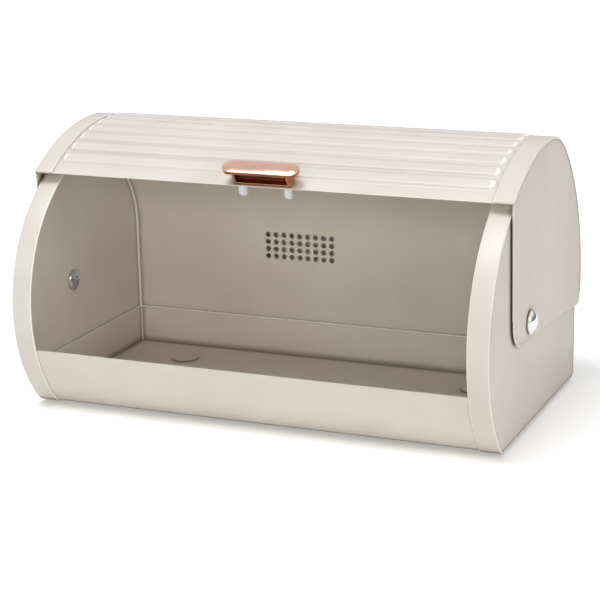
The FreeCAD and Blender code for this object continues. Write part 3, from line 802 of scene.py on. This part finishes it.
def lid_skin():
    """The sheet itself, with a painted highlight on the raised ends of its ribs."""
    rib_end = RIB_REACH + RIB_FLAT / 2 + RIB_SIDE
    step_x = LID_X - LID_BAND - SEAM
    half_places = steps(RIB_REACH - END_LEAD, rib_end, END_COLUMN)
    half_places += [step_x - STEP_LEAD, step_x - STEP_HALF, step_x + STEP_HALF, LID_HALF]
    places = [-place for place in reversed(half_places)] + half_places
    skin = swept_sheet("lid_skin", [(place, sheet_middle(place)) for place in places])
    powder_coated(skin, "lid", "lid_shell")
    for face in skin.data.polygons:
        spot = face.center / MM
        highlight_end = RIB_REACH + BOSS_HIGHLIGHT_START < abs(spot.x) < rib_end
        # Painted highlight on the raised round ends of the ribs
        face.material_index = int(highlight_end and face_rise(spot) > BOSS_HIGHLIGHT_RISE * RIB_HEIGHT)


def lid_rear_rim():
    """The flange at the sheet's rear edge, which points at the lid's axis."""
    slope = math.radians(-LID_REAR_ANGLE)
    half = 0.5 * SHEET
    line = []
    for reach in steps(FLANGE_EDGE, FLANGE_ROOT, FLANGE_STEP):
        y = PIVOT[0] + reach * math.cos(slope) - half * math.sin(slope)
        z = PIVOT[1] + reach * math.sin(slope) + half * math.cos(slope)
        line.append((y, z, half))
    rim = swept_sheet("lid_rear_rim", [(place, line) for place in (-FLANGE_HALF, 0, FLANGE_HALF)])
    rim.data.materials.append(powder)
    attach(rim, "lid")


# The pans at both sides, and the rolled edges, coated lighter as painted highlight so that they show as
# fine lines


def end_cap_pan(label, side):
    """An end cap: its band and the plate that closes it."""
    mesh = bmesh.new()
    swept_section(mesh, band_section(CAP_X, CAP_BAND, CAP_ROLL), body_line, side, True)
    plate(mesh, body_line(PLATE_INSET), CAP_X - SHEET, CAP_X - PLATE_SUNK, side)
    powder_coated(finished("end_cap_pan_" + label, mesh, 35), "box", "end_cap_" + label)


def wall_turned_edge(label, side):
    """The rear wall's and roof's side edge, turned against an end cap."""
    x = side * (CAP_X - SHEET - WALL_BEAD_INSET)
    corner = [(x, y, z) for y, z in wall_line(SHEET + WALL_BEAD_INSET)]
    bead("wall_turned_edge_" + label, corner, WALL_BEAD, "box")


def lid_cheek(label, side):
    """A side plate of the lid, with its band over the sheet and the hem behind its front edge."""
    mesh = bmesh.new()
    swept_section(mesh, band_section(LID_X, LID_BAND, LID_ROLL), lid_line, side, False)
    plate(mesh, lid_plate_line(PLATE_INSET), LID_X - SHEET, LID_X - PLATE_SUNK, side)
    plate(mesh, hem_line(), LID_X - SHEET - HEM_SHEET, LID_X - SHEET, side)
    powder_coated(finished("lid_cheek_" + label, mesh, 35), "lid", "lid_end_" + label)


def lid_turned_edge(label, side):
    """The turned edge round the lower corners of a side plate and up its front."""
    top_y, top_z, heading = lid_point(0, HEM_TOP)
    lower = drawn_in(lid_plate_line(PLATE_INSET), PLATE_BEAD_INSET)[len(lid_line(0)):]
    lower.append((top_y + PLATE_BEAD_INSET, top_z))
    x = side * (LID_X - PLATE_BEAD)
    bead("lid_turned_edge_" + label, [(x, y, z) for y, z in lower], PLATE_BEAD, "lid")


def tray_rolled_rim():
    """The rolled rim of the tray's low sides and rear, as seen from above."""
    back = WALL_Y - 1.5 * SHEET
    corner = (RIM_CORNER - RIM_X, back - RIM_CORNER)
    left = [(-RIM_X, RIM_FRONT_Y)] + arc_points(corner, RIM_CORNER, math.pi, 0.5 * math.pi, 2)
    line = left + [(-x, y) for x, y in reversed(left)]
    bead("tray_rolled_rim", [(x, y, RIM_Z - RIM_BEAD_DROP) for x, y in line], RIM_BEAD, "box")


lid_skin()
lid_rear_rim()
for label, side in (("left", -1), ("right", 1)):
    end_cap_pan(label, side)
    wall_turned_edge(label, side)
    lid_cheek(label, side)
    lid_turned_edge(label, side)
tray_rolled_rim()


# The pull: a crowned bar on a neck that is hollow at the front


def from_foot(across, back, out):
    """A place beside the handle's foot, from its distances across the lid, back along it and out."""
    y, z, heading = lid_point(HANDLE_SETBACK, SHEET)
    y += back * math.sin(heading) + out * math.cos(heading)
    z += out * math.sin(heading) - back * math.cos(heading)
    return across, y, z


def to_foot(spot):
    """How far a spot is back along the lid from the handle's foot, and out of the lid."""
    foot_y, foot_z, heading = lid_point(HANDLE_SETBACK, SHEET)
    y, z = spot.y - foot_y, spot.z - foot_z
    return y * math.sin(heading) - z * math.cos(heading), y * math.cos(heading) + z * math.sin(heading)


def oblong(length, depth, corner, inset, count):
    """A rectangle with rounded corners, drawn in by an inset."""
    radius = max(corner - inset, TOUCH)
    half_x, half_y = length / 2 - inset - radius, depth / 2 - inset - radius
    spots = []
    for quarter, (sx, sy) in enumerate(((1, 1), (-1, 1), (-1, -1), (1, -1))):
        for number in range(count + 1):
            turn = (quarter + number / count) * math.pi / 2
            spots.append((sx * half_x + radius * math.cos(turn), sy * half_y + radius * math.sin(turn)))
    return spots


def level_loop(mesh, outline, out):
    """An outline on the handle's foot, lifted out of the lid."""
    return [vertex(mesh, *from_foot(across, back, out)) for across, back in outline]


def handle_bar(mesh):
    """The bar, round below and with a low crown over its whole depth."""
    reach = BAR_DEPTH / 2
    crown = (reach ** 2 + CROWN_RISE ** 2) / (2 * CROWN_RISE)
    rises = []
    for turn in steps(0, 0.5 * math.pi, math.pi / 6):
        inset = BAR_UNDER_ROUND * (1 - math.sin(turn))
        rises.append((BAR_LOW + BAR_UNDER_ROUND * (1 - math.cos(turn)), inset))
    for turn in steps(math.asin(reach / crown), CROWN_CREST, CROWN_STEP):
        rises.append((BAR_HIGH - crown * (1 - math.cos(turn)), reach - crown * math.sin(turn)))
    loops = []
    for out, inset in rises:
        outline = oblong(BAR_LENGTH, BAR_DEPTH, BAR_CORNER, inset, BAR_CORNER_STEPS)
        loops.append(level_loop(mesh, outline, out))
    stack(mesh, loops)


def handle_neck(mesh):
    """The neck: a whole foot, and above it a wall that leaves the recess open at the front."""
    whole = oblong(NECK_LENGTH, NECK_DEPTH, NECK_CORNER, 0.0, NECK_CORNER_STEPS)
    stack(mesh, [level_loop(mesh, whole, out) for out in (-SHEET, RECESS_FLOOR)])
    side, front = RECESS_LENGTH / 2, -NECK_DEPTH / 2
    recess = [(-side, front), (-side, front + RECESS_DEPTH), (side, front + RECESS_DEPTH), (side, front)]
    front_left = 3 * (NECK_CORNER_STEPS + 1)
    hollow = whole[:front_left] + recess + whole[front_left:]
    stack(mesh, [level_loop(mesh, hollow, out) for out in (RECESS_FLOOR, BAR_LOW + NECK_LAP)])


def handle_pull():
    """The whole pull: polished on top, with painted reflection tone on its sides and neck, and painted
    shade inside its recess.
    """
    mesh = bmesh.new()
    handle_bar(mesh)
    handle_neck(mesh)
    pull = finished("handle_pull", mesh, 35)
    for finish in (copper, side_reflection_copper, recess_shade_copper):
        pull.data.materials.append(finish)
    front = TOUCH - NECK_DEPTH / 2
    for face in pull.data.polygons:
        spot = face.center / MM
        back, out = to_foot(spot)
        within = abs(spot.x) < RECESS_LENGTH / 2 + TOUCH and front < back < front + RECESS_DEPTH
        # Painted shade: the faces inside the recess get the dark brown copy of the plating
        if within and RECESS_FLOOR < out < BAR_LOW:
            face.material_index = 2
        # Painted reflection: the sides and the neck get the deeper orange copy of the plating
        elif out < BAR_HIGH - CROWN_RISE:
            face.material_index = 1
    rounding = pull.modifiers.new("buffed_edges", "BEVEL")
    rounding.width = HANDLE_ROUND * MM
    rounding.segments = 3
    rounding.limit_method = "ANGLE"
    rounding.angle_limit = math.radians(50)
    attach(pull, "lid")
    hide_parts("handle")


handle_pull()


# Studio: floor, sky, lamps and camera


def studio_floor():
    """A level floor that reaches well past the view."""
    data = bpy.data.meshes.new("studio_floor")
    mesh = bmesh.new()
    bmesh.ops.create_grid(mesh, x_segments=8, y_segments=8, size=FLOOR_HALF)
    mesh.to_mesh(data)
    mesh.free()
    data.materials.append(pale_floor())
    floor = bpy.data.objects.new("studio_floor", data)
    bpy.context.scene.collection.objects.link(floor)


def studio_sky():
    """White behind the object, a bright room in its glossy surfaces, and little light from either."""
    world = bpy.data.worlds.new("studio_sky")
    bpy.context.scene.world = world
    world.use_nodes = True
    sky = world.node_tree
    sky.nodes.clear()
    rays = add(sky, "ShaderNodeLightPath").outputs
    facing = add(sky, "ShaderNodeTexCoord").outputs["Generated"]
    height = add(sky, "ShaderNodeSeparateXYZ", {"Vector": facing}).outputs["Z"]
    stops = [(place, grey(level)) for place, level in MIRRORED_ROOM]
    room = add(sky, "ShaderNodeValToRGB", {"Fac": height}, stops)
    shine = {0: rays["Is Glossy Ray"], 1: rays["Is Transmission Ray"]}
    ambient = add(sky, "ShaderNodeBackground", {"Color": grey(1.0), "Strength": SKY_LEVEL})
    mirrored = add(sky, "ShaderNodeBackground", {"Color": room, "Strength": 1.0})
    white = add(sky, "ShaderNodeBackground", {"Color": grey(1.0), "Strength": 1.0})
    gloss = add(sky, "ShaderNodeMath", shine, operation="MAXIMUM")
    unseen = add(sky, "ShaderNodeMixShader", {0: gloss, 1: ambient, 2: mirrored})
    surface = add(sky, "ShaderNodeMixShader", {0: rays["Is Camera Ray"], 1: unseen, 2: white})
    add(sky, "ShaderNodeOutputWorld", {"Surface": surface})


def soft_box(name, spot, target, size, power, warmth, mirrored):
    """A lamp, a share of its blue held back for warmth, which glossy surfaces mirror or not."""
    lamp = bpy.data.lights.new(name, "AREA")
    lamp.shape = "RECTANGLE"
    lamp.size, lamp.size_y = size
    lamp.energy = power
    lamp.color = (1.0, 1.0 - 0.4 * warmth, 1.0 - warmth)
    aim = (Vector(target) - Vector(spot)).to_track_quat("-Z", "Y")
    holder = bpy.data.objects.new(name, lamp)
    holder.matrix_world = Matrix.Translation(spot) @ aim.to_matrix().to_4x4()
    holder.visible_camera = False
    holder.visible_glossy = mirrored
    bpy.context.scene.collection.objects.link(holder)


def studio_camera():
    """A long lens without shift, turned by its yaw and pitch, then rolled about its own line of sight."""
    yaw, pitch, roll = (math.radians(angle) for angle in (CAMERA_YAW, CAMERA_PITCH, CAMERA_ROLL))
    ahead = Vector((-math.sin(yaw) * math.cos(pitch), math.cos(yaw) * math.cos(pitch), -math.sin(pitch)))
    level_right = Vector((math.cos(yaw), math.sin(yaw), 0))
    level_down = ahead.cross(level_right)
    right = math.cos(roll) * level_right + math.sin(roll) * level_down
    down = math.cos(roll) * level_down - math.sin(roll) * level_right
    turn = Matrix((right, -down, -ahead)).transposed().to_4x4()
    lens = bpy.data.cameras.new("camera")
    lens.lens = CAMERA_LENS
    lens.sensor_width = 36.0
    lens.clip_end = 100.0
    camera = bpy.data.objects.new("camera", lens)
    camera.matrix_world = Matrix.Translation(CAMERA_PLACE) @ turn
    bpy.context.scene.collection.objects.link(camera)
    bpy.context.scene.camera = camera


studio_floor()
studio_sky()
soft_box("top_soft_box", (0.3, 0.5, 2.3), (0.0, 0.0, 0.15), (1.5, 1.2), 10.0, -0.08, False)
soft_box("high_soft_box", (-0.4, -0.8, 2.4), (0.0, 0.0, 0.1), (1.2, 1.0), 34.0, -0.08, True)
soft_box("low_soft_box", (0.6, -3.0, 0.9), (0.0, 0.0, 0.1), (1.5, 0.8), 22.0, 0.08, False)
soft_box("left_soft_box", (-0.75, -1.0, 0.55), (-0.1, 0.0, 0.1), (0.5, 0.5), 1.3, 0.0, False)
soft_box("fill_soft_box", (1.7, -1.9, 0.6), (0.0, 0.0, 0.1), (0.9, 0.7), 5.0, 0.15, False)
soft_box("side_soft_box", (2.6, -0.4, 0.9), (0.0, 0.0, 0.1), (1.0, 1.0), 13.5, 0.08, True)
soft_box("rear_soft_box", (-1.7, 2.3, 0.9), (0.0, 0.0, 0.1), (1.4, 1.0), 10.0, 0.0, False)
studio_camera()
bpy.context.scene.view_settings.view_transform = "Standard"
